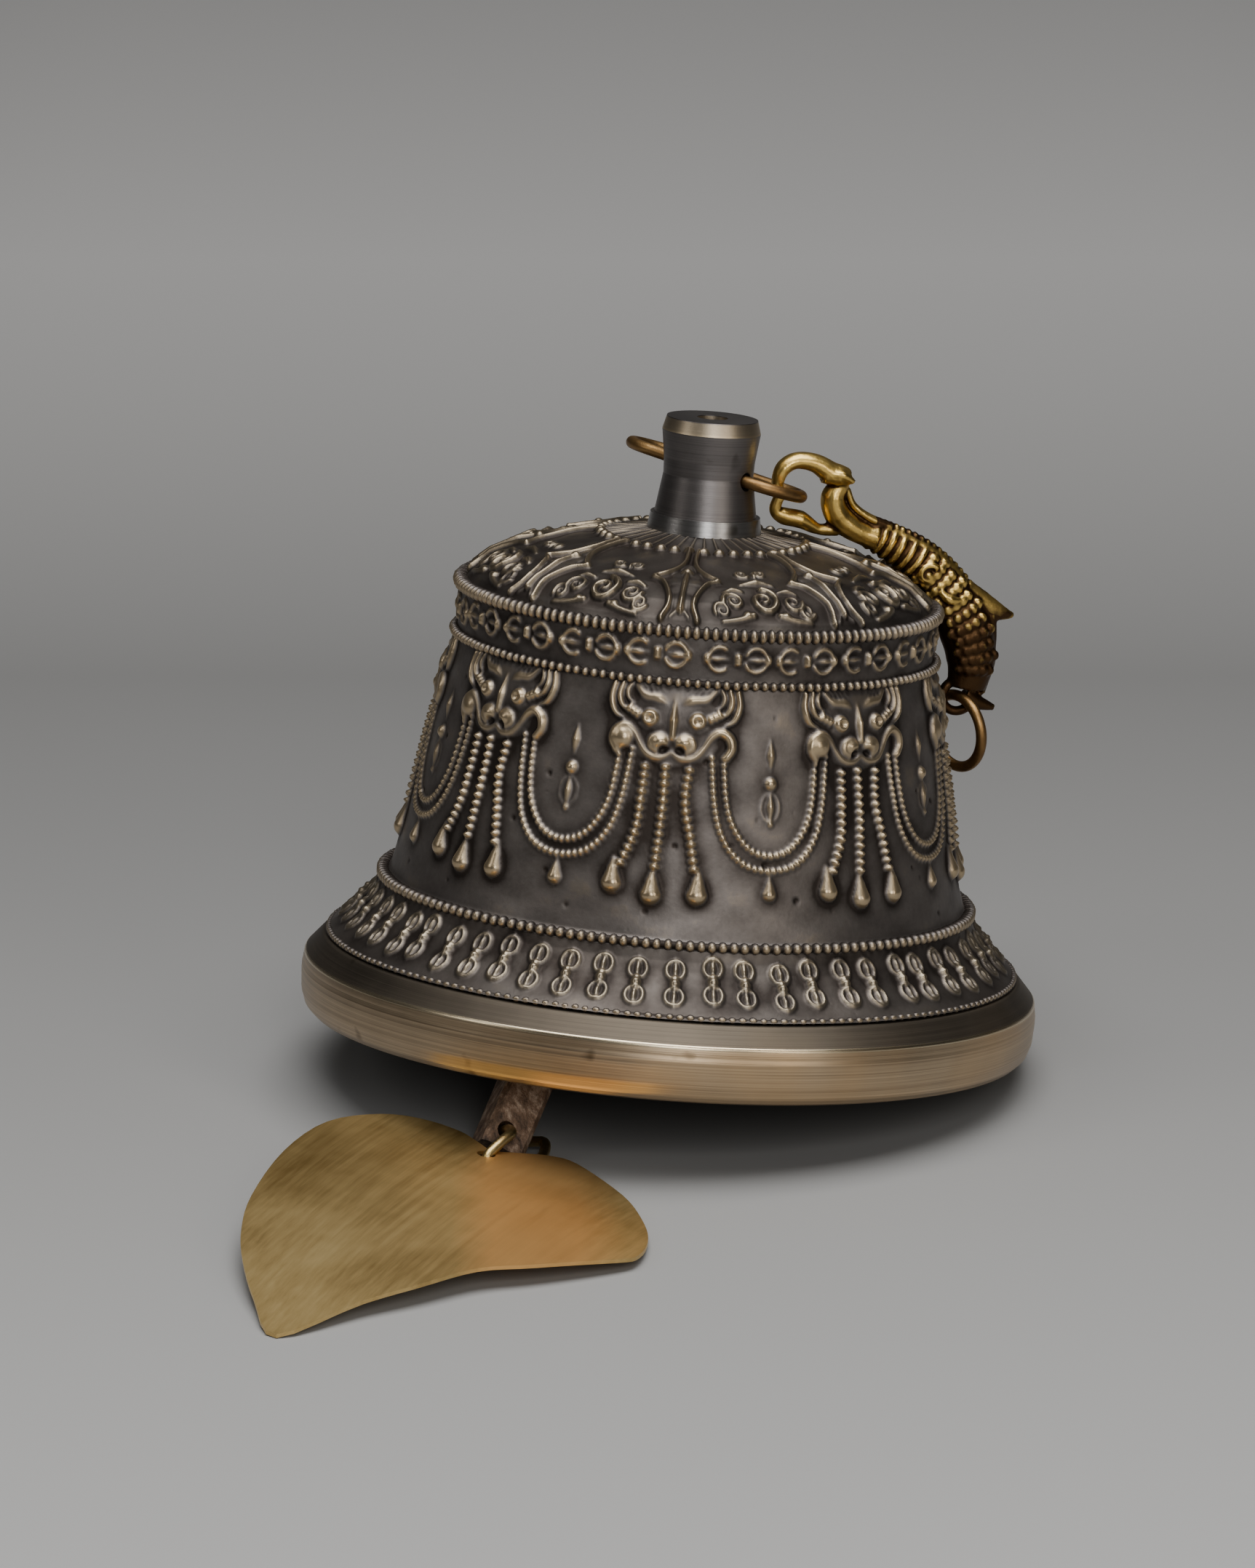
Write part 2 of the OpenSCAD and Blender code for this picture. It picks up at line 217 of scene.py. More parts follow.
class Band:
    """A relief on a stretch of the bell's outer side, closed all round: its height on a grid of points."""

    def __init__(self, profile, step, around):
        self.line, self.s = resample(profile, step)
        self.a = np.linspace(0, 2 * np.pi, around, endpoint=False)
        self.h = np.zeros((len(self.line), around))

    def patch(self, centre, half_angle, polar=False):
        """Columns within half_angle of centre, with x in mm across and y the height (or the radius)."""
        d = (self.a - centre + np.pi) % (2 * np.pi) - np.pi
        cols = np.nonzero(np.abs(d) < half_angle)[0]
        cols = cols[np.argsort(d[cols])]
        y = self.line[:, 0] if polar else self.line[:, 1]
        return cols, Patch(d[None, cols] * self.line[:, :1], y[:, None])

    def merge(self, cols, patch):
        """Puts a patch back; its hollows count only where nothing stands yet."""
        low = (patch.h < 0) & (self.h[:, cols] < 0.1)
        self.h[:, cols] = np.where(low, patch.h, np.maximum(self.h[:, cols], patch.h))

    def build(self, name, material, uneven=0.03, replaces=()):
        """Blends the relief into the wall, adds the unevenness of a casting and makes the mesh."""
        h = blur(self.h, 1)
        wide = blur(self.h, EDGE_REACH)
        for n, m in CAST_WAVES:
            phase = rng.uniform(0, 6.3, 2)
            h = h + uneven * np.sin(n * self.a[None] + phase[0]) * np.sin(m * self.s[:, None] / 9 + phase[1])
        edge = np.clip(h - wide, -0.5, 0.6)
        wear = FLAT_WEAR + EDGE_WEAR * edge + HEIGHT_WEAR * np.clip(h / 1.2, 0, 1)
        t = np.gradient(self.line, axis=0)
        t /= np.linalg.norm(t, axis=1)[:, None]
        out_r, out_z = -t[:, 1:], t[:, :1]
        r = self.line[:, :1] + h * out_r
        z = self.line[:, 1:] + h * out_z
        pts = np.stack([r * np.cos(self.a), r * np.sin(self.a), z], -1).reshape(-1, 3)
        add_mesh(name, pts, grid_faces(*self.h.shape), "bell", material,
                 wear=np.clip(wear, 0, 1), replaces=replaces)


# ---------------------------------------------------------------- motifs
def mask_brow(p, s):
    """Brow, hair and the line over the eye on one side (s is -1 or 1) of a mask."""
    p.stroke(curve([(s * 0.6, 59.4), (s * 2.6, 60.7), (s * 4.8, 61.0), (s * 6.3, 62.4)]),
             (0.35, 0.85, 0.75, 0.4))
    for k in range(5):
        x, y = s * (1.5 + 0.95 * k), 60.5 + 0.12 * k
        p.stroke(curve([(x, y), (x + s * 0.2, y + 1.1), (x + s * 0.9, y + 1.9)]), (0.42, 0.2))
    p.stroke(curve([(s * 1.2, 58.9), (s * 2.6, 59.6), (s * 4.6, 59.4), (s * 6.2, 59.7)]), (0.2, 0.42, 0.3))


def mask_eye(p, s):
    """Eyeball, lids and the row of lashes on one side of a mask."""
    x, y = s * 3.75, MASK_EYE_HEIGHT
    p.dome((x, y), 1.65, 1.5, 1.15)
    lid = [(x + 0.95 * math.cos(a), y + 0.9 * math.sin(a)) for a in np.linspace(0, 2 * np.pi, 13)]
    p.stroke(lid, 0.36, 4.2)
    p.stroke([(s * 2.0, 57.0), (s * 2.9, 56.1), (s * 4.3, 55.9), (s * 5.4, 56.6)], 0.28, 2.2)
    p.beads([(s * 5.4, 57.8), (s * 7.4, 58.9)], 0.8, 0.85, 0.5, 1.15)


def mask_horns(p, s):
    """Three curved strands that rise beside one eye of a mask."""
    outer = [(s * 7.9, 57.0), (s * 9.5, 58.0), (s * 10.2, 60.2), (s * 9.8, 62.5)]
    middle = [(s * 7.4, 58.4), (s * 8.5, 59.3), (s * 8.9, 60.9), (s * 8.5, 62.6)]
    inner = [(s * 6.6, 59.6), (s * 7.5, 60.4), (s * 7.7, 61.6), (s * 7.2, 62.6)]
    p.stroke(curve(outer), (0.35, 0.62, 0.45), 1.6)
    p.stroke(curve(middle), (0.4, 0.58, 0.4), 1.7)
    p.stroke(curve(inner), (0.3, 0.45, 0.3), 1.6)


def mask_mouth(p, s):
    """Nostril side, cheek line and curled lip on one side of a mask."""
    p.dome((s * 1.9, 54.0), 1.55, 1.3, 1.5)
    p.stroke(curve([(s * 0.4, 54.4), (s * 1.7, 55.2), (s * 3.2, 54.6), (s * 3.4, 53.3), (s * 2.4, 52.6)]),
             (0.4, 0.6, 0.5), 1.9)
    lip = curve([(0, 52.5), (s * 1.7, 51.6), (s * 3.6, 51.9), (s * 5.0, 53.4), (s * 6.1, 55.2),
                 (s * 7.5, 56.1), (s * 9.0, 55.3), (s * 9.5, 53.6), (s * 8.8, 52.2)])
    p.stroke(lip, (0.5, 0.62, 0.55, 0.8, 0.85, 0.7), 1.35)


def monster_mask(p):
    """One guardian mask, x from its middle, y the height on the bell."""
    p.dome((0, 56.3), 8.6, 6.2, 0.5)
    for s in (-1, 1):
        mask_brow(p, s)
        mask_eye(p, s)
        mask_horns(p, s)
        mask_mouth(p, s)
    p.dome((-8.0, 54.3), 2.0, 2.0, 1.5)
    p.stroke([(0, 60.6), (0, 57.6), (0, 54.8)], (0.25, 0.72, 0.6), 2.0)
    for s in (-1, 1):
        p.pit((s * 1.35, 53.0), 0.75, 0.9)
        p.pit((s * 3.75, MASK_EYE_HEIGHT), 0.42, 0.5)


def drop(p, at, r):
    """Tear-drop bob, its round end down."""
    p.stroke([(at[0], at[1] + 2.1 * r), (at[0], at[1] + 1.1 * r), at], (0.25 * r, 0.6 * r, r), 0.85)


def mask_strings(p):
    """Three bead strings with bobs under a mask."""
    strings = [[(-3.9, 50.6), (-4.2, 44.6), (-4.7, 39.6), (-6.6, 34.6)],
               [(-0.7, 50.8), (-0.6, 44.8), (-0.8, 39.0), (-1.1, 33.8)],
               [(3.2, 50.6), (2.9, 45.0), (4.1, 39.8), (5.3, 34.2)]]
    for line, bob in zip(strings, [(-7.7, 31.6), (-1.3, 30.3), (6.0, 30.7)]):
        p.stroke(curve(line), 0.36, 0.8)
        p.beads(curve(line, 8), 1.3, 0.88, 0.52, 1.2)
        drop(p, bob, 1.75)


def swag(p):
    """Double beaded swag between two masks, with what hangs in and under it; x from its middle."""
    outer = [(9.6, 52.6), (9.1, 45), (7.7, 39.6), (4.5, 35.9), (0, 34.8)]
    inner = [(7.7, 52.6), (7.2, 45.4), (5.9, 41.2), (3.3, 38.1), (0, 37.1)]
    for line in (outer, inner):
        full = curve([(-x, y) for x, y in line] + line[-2::-1])
        p.stroke(full, 0.28, 0.9)
        p.beads(full, 1.05, 0.58, 0.43, 0.85)
    p.stroke([(0, 34.4), (0, 33)], 0.32)
    drop(p, (0, 31.2), 1.2)
    p.stroke([(0, 55.4), (0, 52.8), (0, 50.2)], (0.12, 0.62, 0.12), 1.1)
    p.dome((0, 48.4), 1.05, 1.05, 0.95)
    p.stroke([(0, 47.3), (0, 44.8), (0, 42.3)], (0.2, 0.6, 0.25), 1.1)
    p.dome((0, 42.1), 0.5, 0.45, 0.6)
    for s in (-1, 1):
        p.stroke(curve([(0, 47.4), (s * 1.35, 45.8), (s * 1.35, 43.6), (0, 42.1)]), 0.2, 1.2)


def lying_vajra(p, y):
    """Vajra lying along the band: an open cage, a centre bead and a closed cage."""
    for s, open_half in ((-1, 0.95), (1, 0.42)):
        sweep = np.linspace(open_half, 2 * np.pi - open_half, 15) + (0 if s < 0 else np.pi)
        p.stroke([(s * 2.95 + 1.8 * math.cos(a), y + 1.95 * math.sin(a)) for a in sweep], 0.31, 2.0)
        p.stroke([(s * 1.5, y), (s * 3.2, y), (s * 4.9, y)], (0.16, 0.38, 0.26), 1.6)
        p.dome((s * 4.95, y), 0.62, 0.9, 0.85)
    for k in (-0.62, 0, 0.62):
        p.dome((0, y + k), 0.66, 0.4, 0.95)


def standing_vajra(p, y):
    """Vajra standing on the flare; y is its middle."""
    sweep = np.linspace(0.15, 3.0, 9)
    for s in (-1, 1):
        middle = y + s * 2.5
        for side in (-1, 1):
            prong = [(side * 1.45 * math.sin(a), middle + 1.75 * math.cos(a)) for a in sweep]
            p.stroke(prong, 0.29, 2.4)
        p.stroke([(0, y + s * 0.9), (0, middle), (0, y + s * 4.6)], (0.25, 0.42, 0.2), 2.0)
    p.dome((0, y), 0.95, 0.8, 1.15)
    for s in (-1, 1):
        p.dome((0, y + s * 1.0), 0.8, 0.4, 0.95)


def crown_blade(p):
    """Ridged blade from the ribs to the shoulder; x across, y the radius."""
    for s in (-1, 1):
        lower = [(s * 0.75, 17.2), (s * 0.75, 21.5), (s * 1.5, 24.6), (s * 3.2, 27), (s * 5.3, 28.8)]
        upper = [(s * 5.3, 28.8), (s * 3.5, 30.1), (s * 2.4, 32.4), (s * 2.0, 35), (s * 2.9, 37.2)]
        p.stroke(curve(lower), 0.42, 2.2)
        p.stroke(curve(upper), 0.42, 2.2)
        p.stroke([(0, 35.2), (s * 1.5, 36.9)], 0.25, 1.5)
    for y, r in ((24.8, 1.2), (27.3, 2.4), (29.5, 2.9), (31.5, 2.4), (34, 1.9)):
        p.dome((0, y), r, 2.2, 0.42)
    p.stroke([(0, 27.6), (0, 36)], 0.42, 2.6)
    p.dome((0, 26.7), 1.1, 0.9, 1.3)


def curl(p, at, size, turn, r=0.42):
    """Small cloud curl: a spiral of one and a half turns."""
    a = np.linspace(0, 3 * np.pi, 22)
    k = size * (1 - a / (3.6 * np.pi))
    p.stroke(np.stack([at[0] + k * np.cos(a + turn), at[1] + k * np.sin(a + turn)], -1), (r, 0.7 * r), 1.8)


def crown_cloud(p):
    """Plain cloud scrolls between two blades."""
    for s in (-1, 1):
        curl(p, (s * 1.5, 25.4), 1.2, 1.5 + s, 0.32)
        curl(p, (s * 5.0, 33.6), 1.7, 1.5 - 1.5 * s)
        curl(p, (s * 7.2, 35.3), 1.3, 1.5 - 1.2 * s, 0.36)
        p.stroke(curve([(s * 2.2, 35.9), (s * 4.6, 36.6), (s * 7.5, 37.0)]), (0.5, 0.3), 1.5)
        p.stroke(curve([(s * 3.0, 31.2), (s * 4.6, 31.0), (s * 6.2, 31.8)]), (0.3, 0.45, 0.3), 1.5)
        p.dome((s * 3.2, 36.0), 0.8, 0.7, 0.8)
    p.stroke(curve([(-2.8, 29.2), (0, 28.6), (2.8, 29.2)]), (0.25, 0.6, 0.25), 1.5)
    curl(p, (0, 33.4), 2.5, -1.5, 0.6)


# ---------------------------------------------------------------- procedural materials
def new_material(name):
    """A material with an empty Principled shader: the material, its node tree and the shader."""
    m = bpy.data.materials.new(name)
    m.use_nodes = True
    t = m.node_tree
    t.nodes.clear()
    out = t.nodes.new("ShaderNodeOutputMaterial")
    bsdf = t.nodes.new("ShaderNodeBsdfPrincipled")
    t.links.new(bsdf.outputs[0], out.inputs[0])
    return m, t, bsdf


def node(t, kind, **values):
    """A node with its settings and sockets by name, or i0, i1 and so on for sockets by number.

    A value that is an output socket is linked.
    """
    n = t.nodes.new("ShaderNode" + kind)
    for key, value in values.items():
        if hasattr(n, key) and key not in n.inputs:
            setattr(n, key, value)
            continue
        socket = n.inputs[int(key[1:])] if key[0] == "i" and key[1:].isdigit() else n.inputs[key]
        if isinstance(value, bpy.types.NodeSocket):
            t.links.new(value, socket)
        else:
            socket.default_value = value
    return n


def ramp(t, value, stops):
    """Colour ramp with (position, colour) stops."""
    n = node(t, "ValToRGB", Fac=value)
    e = n.color_ramp.elements
    while len(e) < len(stops):
        e.new(0.5)
    for k, (at, rgb) in enumerate(stops):
        e[k].position = at
        e[k].color = (*rgb, 1)
    return n.outputs[0]


def math_node(t, how, a, b):
    """Sum, product or other operation on two values."""
    return node(t, "Math", operation=how, i0=a, i1=b).outputs[0]


def weighted(t, a, a_share, b, b_share):
    """Sum of two values, each times its share."""
    return math_node(t, "ADD", math_node(t, "MULTIPLY", a, a_share), math_node(t, "MULTIPLY", b, b_share))


def varied(t, value, other, gain):
    """A value shifted by gain times what another one differs from a half."""
    shift = math_node(t, "MULTIPLY", math_node(t, "SUBTRACT", other, 0.5), gain)
    return math_node(t, "ADD", value, shift)


def roughness(t, bsdf, value, low, high):
    """Roughness that runs from low to high as the value runs from 0 to 1."""
    t.links.new(node(t, "MapRange", Value=value, i3=low, i4=high).outputs[0], bsdf.inputs["Roughness"])


def noise(t, scale, detail=4.0, vector=None, rough=0.6):
    """Noise in object coordinates; scale is in waves per metre."""
    v = vector or node(t, "TexCoord").outputs["Object"]
    return node(t, "TexNoise", Vector=v, Scale=scale, Detail=detail, Roughness=rough).outputs["Fac"]


def stretched(t, axis_turn, scale):
    """Object coordinates turned by some angles, then scaled along each axis; for brush marks."""
    c = node(t, "TexCoord").outputs["Object"]
    r = node(t, "Mapping", vector_type="TEXTURE", Vector=c, Rotation=axis_turn)
    return node(t, "Mapping", Vector=r.outputs[0], Scale=scale).outputs[0]


def axis_height(t):
    """Height along the bell's axis over its mouth, in metres."""
    c = node(t, "TexCoord").outputs["Object"]
    d = node(t, "VectorMath", operation="SUBTRACT", i0=c, i1=tuple(MOUTH * MM)).outputs[0]
    return node(t, "VectorMath", operation="DOT_PRODUCT", i0=d, i1=tuple(AXIS)).outputs["Value"]


def lathe_lines(t, per_metre):
    """Rings round the bell's axis, as a lathe and a wire brush leave them."""
    c = node(t, "TexCoord").outputs["Object"]
    slow = node(t, "VectorMath", operation="SCALE", i0=c, Scale=14.0).outputs[0]
    up = math_node(t, "MULTIPLY", axis_height(t), per_metre)
    v = node(t, "CombineXYZ", Z=up).outputs[0]
    v = node(t, "VectorMath", operation="ADD", i0=v, i1=slow).outputs[0]
    return noise(t, 1.0, 3.0, v, 0.7)


def bump(t, bsdf, height, strength, distance):
    """Bump from a height; distance is in metres."""
    n = node(t, "Bump", Height=height, Strength=strength, Distance=distance)
    t.links.new(n.outputs[0], bsdf.inputs["Normal"])


def mix(t, fac, a, b, how="MIX"):
    """Blend of two colours."""
    n = t.nodes.new("ShaderNodeMix")
    n.data_type = "RGBA"
    n.blend_type = how
    for socket, value in ((n.inputs[0], fac), (n.inputs[6], a), (n.inputs[7], b)):
        if isinstance(value, bpy.types.NodeSocket):
            t.links.new(value, socket)
        else:
            socket.default_value = (*value, 1) if isinstance(value, tuple) else value
    return n.outputs[2]


def relief_bronze(name, low=(0.02, 0.018, 0.017), mid=(0.17, 0.155, 0.145), high=(0.58, 0.455, 0.285)):
    """Antique bronze: dark in the hollows, rubbed to brass on what stands out."""
    m, t, bsdf = new_material(name)
    blotch = noise(t, 55, 5)
    fine = noise(t, 900, 3)
    w = varied(t, node(t, "Attribute", attribute_name="wear").outputs["Fac"], blotch, 0.22)
    w = varied(t, w, fine, 0.14)
    between = tuple(0.5 * (a + b) for a, b in zip(mid, high))
    colour = ramp(t, w, [(0.02, low), (0.30, mid), (0.55, between), (0.9, high)])
    brown = (0.12, 0.085, 0.065)
    colour = mix(t, math_node(t, "MULTIPLY", blotch, 0.35), colour, brown)
    t.links.new(colour, bsdf.inputs["Base Color"])
    bsdf.inputs["Metallic"].default_value = 0.9
    roughness(t, bsdf, w, 0.56, 0.30)
    cells = node(t, "TexVoronoi", Vector=node(t, "TexCoord").outputs["Object"], Scale=420.0)
    pits = node(t, "MapRange", Value=cells.outputs["Distance"], i1=0.0, i2=0.16, i3=0.0, i4=1.0).outputs[0]
    bump(t, bsdf, weighted(t, fine, 0.6, pits, 0.3), 0.35, 0.00018)
    return m


def painted_bevel_highlight(t, colour, bevel_highlight):
    """Painted highlight in pale brass on a stretch of the bell's axis, bevel_highlight, given as two heights
    in mm: a thin bright line at its lower end and a paler band.
    """
    f = node(t, "MapRange", Value=axis_height(t), i1=bevel_highlight[0] * MM, i2=bevel_highlight[1] * MM).outputs[0]
    # Painted highlight: full at the thin line, then a paler band over the bevel
    painted_light_share = [(0.0, 0.0), (0.02, 1.0), (0.2, 0.6), (0.97, 0.5), (1.0, 0.0)]
    band = ramp(t, f, [(at, (grey, grey, grey)) for at, grey in painted_light_share])
    return mix(t, band, colour, (0.62, 0.5, 0.33))


def turned_bronze(name, dark, light, warm=(0.55, 0.33, 0.12), lines=5200.0, rough=0.33, streak=0.75,
                  bevel_highlight=None):
    """Lathe-turned metal with brush rings (lines per metre), warm blotches and small dark spots;
    bevel_highlight adds a painted highlight on a stretch of the axis.
    """
    m, t, bsdf = new_material(name)
    ring = lathe_lines(t, lines)
    w = weighted(t, ring, streak, noise(t, 34, 4), 1.1 - streak)
    colour = ramp(t, w, [(0.30, dark), (0.75, light)])
    blotch = ramp(t, noise(t, 21, 3), [(0.52, (0, 0, 0)), (0.75, (0.55, 0.55, 0.55))])
    colour = mix(t, blotch, colour, warm)
    spots = ramp(t, noise(t, 150, 2), [(0.66, (1, 1, 1)), (0.76, (0.45, 0.43, 0.4))])
    colour = mix(t, 1.0, colour, spots, "MULTIPLY")
    if bevel_highlight:
        colour = painted_bevel_highlight(t, colour, bevel_highlight)
    t.links.new(colour, bsdf.inputs["Base Color"])
    bsdf.inputs["Metallic"].default_value = 1.0
    roughness(t, bsdf, w, rough - 0.07, rough + 0.12)
    bump(t, bsdf, ring, 0.22, 0.0001)
    return m


def cast_brass(name, dark, light, scale, rough, split=(0.36, 0.62), wear_gain=0.0):
    """Cast or drawn metal: bright where rubbed, dark in the hollows; scale is the grain's waves per metre."""
    m, t, bsdf = new_material(name)
    w = weighted(t, noise(t, scale, 5), 0.55, noise(t, scale / 6, 3), 0.45)
    if wear_gain:
        w = varied(t, w, node(t, "Attribute", attribute_name="wear").outputs["Fac"], wear_gain)
    t.links.new(ramp(t, w, [(split[0], dark), (split[1], light)]), bsdf.inputs["Base Color"])
    bsdf.inputs["Metallic"].default_value = 1.0
    roughness(t, bsdf, w, rough + 0.2, rough - 0.05)
    bump(t, bsdf, noise(t, scale * 2.2, 4), 0.5, 0.00025)
    return m


def brushed_sheet(name):
    """Sail: olive-gold sheet brushed along its length, with a darker tarnish and a painted warm reflection.
    """
    m, t, bsdf = new_material(name)
    brush = noise(t, 1.0, 4, stretched(t, (0, 0, SAIL_HEADING), (26, 900, 900)), 0.7)
    blotch = noise(t, 24, 4)
    w = weighted(t, brush, 0.3, blotch, 0.7)
    colour = ramp(t, w, [(0.34, (0.42, 0.27, 0.09)), (0.5, (0.70, 0.50, 0.21)), (0.66, (0.86, 0.66, 0.32))])
    # Painted reflection: an orange band across the sail along X, its edges shifted a little by the blotches
    x = node(t, "SeparateXYZ", Vector=node(t, "TexCoord").outputs["Object"]).outputs["X"]
    f = node(t, "MapRange", Value=varied(t, x, blotch, 0.012), i1=WARM_REFLECTION_FROM_X, i2=0.0).outputs[0]
    painted_light_share = [(0.50, 0.0), (0.60, 0.75), (0.80, 0.65), (0.93, 0.0)]
    patch = ramp(t, f, [(at, (grey, grey, grey)) for at, grey in painted_light_share])
    colour = mix(t, patch, colour, (1.0, 0.56, 0.2))
    t.links.new(colour, bsdf.inputs["Base Color"])
    bsdf.inputs["Metallic"].default_value = 1.0
    roughness(t, bsdf, w, 0.36, 0.5)
    bump(t, bsdf, brush, 0.16, 0.0001)
    return m


def rusty_iron(name):
    """Forged iron with brown rust in its grain."""
    m, t, bsdf = new_material(name)
    grain = noise(t, 700, 6, stretched(t, (0, 0, 0), (1, 1, 0.5)), 0.7)
    w = weighted(t, grain, 0.6, noise(t, 120, 4), 0.4)
    rust = [(0.36, (0.035, 0.024, 0.018)), (0.5, (0.19, 0.12, 0.078)), (0.64, (0.55, 0.44, 0.34))]
    t.links.new(ramp(t, w, rust), bsdf.inputs["Base Color"])
    bsdf.inputs["Metallic"].default_value = 0.55
    roughness(t, bsdf, w, 0.75, 0.45)
    bump(t, bsdf, grain, 0.8, 0.0004)
    return m


BRONZE = relief_bronze("bell_relief")
# Painted shade: the crown's mid and high colours are darker than the body's, standing in for the dimmer light
# on the crown
CROWN_SHADED_BRONZE = relief_bronze("bell_crown_relief_painted_shade", mid=(0.07, 0.064, 0.058), high=(0.32, 0.26, 0.175))
FLARE_BRONZE = relief_bronze("bell_flare_relief", mid=(0.12, 0.108, 0.098), high=(0.34, 0.285, 0.20))
INSIDE_METAL = relief_bronze("bell_inside", low=(0.012, 0.01, 0.009), mid=(0.05, 0.04, 0.033))
RIM_METAL = turned_bronze("rim_turned", dark=(0.20, 0.15, 0.10), light=(0.62, 0.48, 0.32),
                          warm=(0.7, 0.42, 0.17))
SLOPE_METAL = turned_bronze("slope_turned", dark=(0.06, 0.05, 0.04), light=(0.15, 0.125, 0.095),
                            warm=(0.16, 0.12, 0.075), rough=0.46, streak=0.5)
# Painted highlight: the light colour of the rim's thin top edge paints the highlight line along it
EDGE_HIGHLIGHT_METAL = turned_bronze("edge_painted_highlight", dark=(0.45, 0.37, 0.25), light=(0.85, 0.72, 0.5), rough=0.24)
# The hub's top bevel carries a painted highlight, a thin bright line and a pale brass band
HUB_METAL = turned_bronze("hub_turned_painted_highlight", dark=(0.07, 0.064, 0.062), light=(0.25, 0.23, 0.222),
                          warm=(0.3, 0.19, 0.12), lines=9000.0, rough=0.36, streak=0.4, bevel_highlight=HUB_HIGHLIGHT_BEVEL)
COLLAR_METAL = turned_bronze("collar_turned", dark=(0.20, 0.195, 0.19), light=(0.42, 0.405, 0.395),
                             warm=(0.3, 0.27, 0.24), rough=0.26, streak=0.35)
FISH_BRASS = cast_brass("fish_brass", dark=(0.075, 0.04, 0.018), light=(0.82, 0.56, 0.16), scale=240,
                        rough=0.3, split=(0.42, 0.62), wear_gain=0.85)
RING_BRASS = cast_brass("ring_brass", dark=(0.16, 0.085, 0.035), light=(0.46, 0.28, 0.11), scale=150,
                        rough=0.34)
WIRE_BRASS = cast_brass("wire_brass", dark=(0.42, 0.29, 0.10), light=(0.80, 0.62, 0.30), scale=200,
                        rough=0.26)
SAIL_METAL = brushed_sheet("sail_brushed_painted_reflection")
IRON = rusty_iron("rusty_iron")
STEEL = cast_brass("dull_steel", dark=(0.10, 0.10, 0.10), light=(0.34, 0.33, 0.32), scale=300, rough=0.4)


# ---------------------------------------------------------------- the bell
def crown_stems(band):
    """Thin ribs round the hub, each with a bead at its end."""
    for k in range(CROWN_STEMS):
        cols, p = band.patch(2 * math.pi * k / CROWN_STEMS, 0.09, polar=True)
        p.stroke([(0, 9.6), (0, 16.2)], (0.2, 0.34), 1.2)
        p.dome((0, 17), 0.95, 0.95, 0.95)
        band.merge(cols, p)


def bell_crown():
    """The top, with its ribs, blades and cloud scrolls."""
    band = Band(CROWN, step=0.24, around=1200)
    crown_stems(band)
    turn = 2 * math.pi / BLADES
    for k in range(BLADES):
        cols, p = band.patch(FIRST_BLADE + k * turn, 0.42, polar=True)
        crown_blade(p)
        band.merge(cols, p)
        cols, p = band.patch(FIRST_BLADE + (k + 0.5) * turn, 0.36, polar=True)
        crown_cloud(p)
        band.merge(cols, p)
    band.build("bell_crown", CROWN_SHADED_BRONZE, uneven=0.05)


def vajra_row(band):
    """Lying vajras between the two upper bead rings, placed a little unevenly."""
    for k in range(LYING_VAJRAS):
        middle = FIRST_VAJRA + 2 * math.pi * k / LYING_VAJRAS + rng.uniform(-0.012, 0.012)
        cols, p = band.patch(middle, 0.17)
        lying_vajra(p, VAJRA_HEIGHT + rng.uniform(-0.25, 0.25))
        band.merge(cols, p)


def mask_row(band):
    """Masks with their strings, and a swag between each two."""
    turn = 2 * math.pi / MASKS
    for k in range(MASKS):
        middle = FIRST_MASK + k * turn + rng.uniform(-0.01, 0.01)
        cols, p = band.patch(middle, 0.36)
        monster_mask(p)
        mask_strings(p)
        band.merge(cols, p)
        cols, p = band.patch(middle + turn / 2, 0.3)
        swag(p)
        band.merge(cols, p)


def cast_pits(band):
    """Small casting pits anywhere on the plain wall."""
    for _ in range(CAST_PITS):
        cols, p = band.patch(rng.uniform(0, 2 * math.pi), 0.03)
        p.pit((0, rng.uniform(24.5, 60)), rng.uniform(0.25, 0.55), rng.uniform(0.25, 0.5))
        band.merge(cols, p)


def bell_body():
    """The wall from the shoulder to the waist."""
    band = Band(BODY, step=0.26, around=1150)
    vajra_row(band)
    mask_row(band)
    cast_pits(band)
    band.build("bell_body", BRONZE, replaces=("bell_shell",))


def bell_flare():
    """The flare with its standing vajras, which stand along its slope."""
    band = Band(FLARE, step=0.26, around=1300)
    for k in range(STANDING_VAJRAS):
        cols, p = band.patch(2 * math.pi * k / STANDING_VAJRAS + rng.uniform(-0.012, 0.012), 0.06)
        p.y = np.broadcast_to(FLARE_MIDDLE - band.s[:, None], p.x.shape)
        standing_vajra(p, rng.uniform(-0.5, 0.5))
        band.merge(cols, p)
    band.build("bell_flare", FLARE_BRONZE, uneven=0.05)


